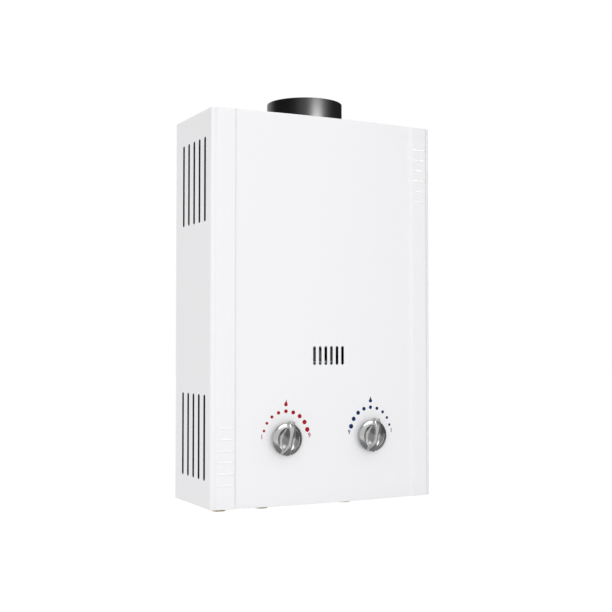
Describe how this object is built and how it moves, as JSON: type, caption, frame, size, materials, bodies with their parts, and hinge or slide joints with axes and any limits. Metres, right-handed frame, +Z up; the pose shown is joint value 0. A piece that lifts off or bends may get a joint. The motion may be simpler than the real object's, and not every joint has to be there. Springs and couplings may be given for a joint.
{
  "type": "tankless gas water heater",
  "caption": "Wall-hung gas water heater with a bowed white front, side vents, two turning control knobs, a round flue collar on top and pipe connections below.",
  "frame": {"origin": "middle of the four wall screw holes, on the back plate's wall face", "axes": "+X to the right as seen from the front, the front faces -Y and the wall is at Y = 0, +Z up"},
  "size_m": [0.331, 0.1554, 0.557],
  "materials": {
    "white_enamel": "satin",
    "black_enamel": "gloss",
    "galvanised_sheet": "satin",
    "burner_steel": "satin",
    "copper": "satin",
    "brass_turned": "satin",
    "cast_aluminium": "matt",
    "turned_steel": "satin",
    "silver_plastic": "gloss",
    "black_plastic": "matt",
    "grey_plastic": "matt",
    "white_ceramic": "satin",
    "black_rubber": "matt",
    "lead_rubber": "satin",
    "clear_glass": "gloss",
    "coil_plastic": "matt",
    "cell_jacket": "gloss",
    "spring_metal": "gloss"
  },
  "bodies": {
    "casing": {"front_cover": "white_enamel", "back_plate": "galvanised_sheet", "top_plate": "galvanised_sheet", "bottom_plate": "galvanised_sheet", "flue_collar": "black_enamel", "draft_hood": "galvanised_sheet", "draft_baffle": "galvanised_sheet", "combustion_chamber": "copper", "fin_pack": "copper", "water_tube": "copper", "union_nuts": "brass_turned", "chamber_brackets": "galvanised_sheet", "sight_glass": "clear_glass", "sight_glass_frame": "turned_steel", "burner_frame": "burner_steel", "burner_bars": "burner_steel", "gas_manifold": "cast_aluminium", "gas_nozzles": "brass_turned", "ignition_electrode": "white_ceramic", "flame_sensor": "white_ceramic", "electrode_bracket": "turned_steel", "gas_valve_body": "cast_aluminium", "gas_bonnet": "cast_aluminium", "solenoid_coil": "coil_plastic", "water_valve_body": "brass_turned", "diaphragm_cover": "brass_turned", "diaphragm": "black_rubber", "valve_bridge": "cast_aluminium", "microswitch": "black_plastic", "water_bonnet": "brass_turned", "hot_outlet": "brass_turned", "gas_inlet": "brass_turned", "cold_inlet": "brass_turned", "battery_box": "grey_plastic", "battery_cells": "cell_jacket", "battery_contacts": "spring_metal", "door_pin": "turned_steel", "igniter_module": "black_plastic", "overheat_thermostat": "black_plastic", "flue_thermostat": "black_plastic", "ignition_lead": "lead_rubber", "sensor_lead": "lead_rubber", "switch_lead": "black_rubber", "solenoid_lead": "black_rubber", "battery_lead": "black_rubber"},
    "gas_control": {"gas_knob": "silver_plastic", "gas_spindle": "turned_steel", "gas_tap_plug": "brass_turned"},
    "water_control": {"water_knob": "silver_plastic", "water_spindle": "turned_steel"},
    "door": {"battery_door": "grey_plastic"},
    "drain": {"drain_screw": "brass_turned"},
    "rod": {"push_rod": "turned_steel", "gas_plunger": "black_rubber"},
    "button": {"switch_button": "grey_plastic"},
    "core": {"solenoid_core": "turned_steel"}
  },
  "joints": [
    {"name": "gas_turn", "type": "hinge", "parent": "casing", "child": "gas_control", "pos_m": [-0.064, -0.12, -0.1705], "axis": [0, -1, 0], "range_deg": [-76.5, 103.5]},
    {"name": "water_turn", "type": "hinge", "parent": "casing", "child": "water_control", "pos_m": [0.064, -0.12, -0.1705], "axis": [0, -1, 0], "range_deg": [-76.5, 103.5]},
    {"name": "door_swing", "type": "hinge", "parent": "casing", "child": "door", "pos_m": [0, -0.0414, -0.257], "axis": [1, 0, 0], "range_deg": [0, 100]},
    {"name": "drain_turn", "type": "hinge", "parent": "casing", "child": "drain", "pos_m": [0.088, -0.06, -0.2575], "axis": [0, 0, -1], "range_deg": [0, 720]},
    {"name": "rod_push", "type": "slide", "parent": "casing", "child": "rod", "axis": [-1, 0, 0], "range_m": [0, 0.004], "stiffness_N_per_m": 400},
    {"name": "button_press", "type": "slide", "parent": "casing", "child": "button", "axis": [-1, 0, 0], "range_m": [0, 0.004], "stiffness_N_per_m": 50},
    {"name": "core_lift", "type": "slide", "parent": "casing", "child": "core", "axis": [0, 0, 1], "range_m": [0, 0.003], "stiffness_N_per_m": 200}
  ],
  "couplings": [
    {"joint": "button_press", "follows": "rod_push", "ratio": 1}
  ]
}
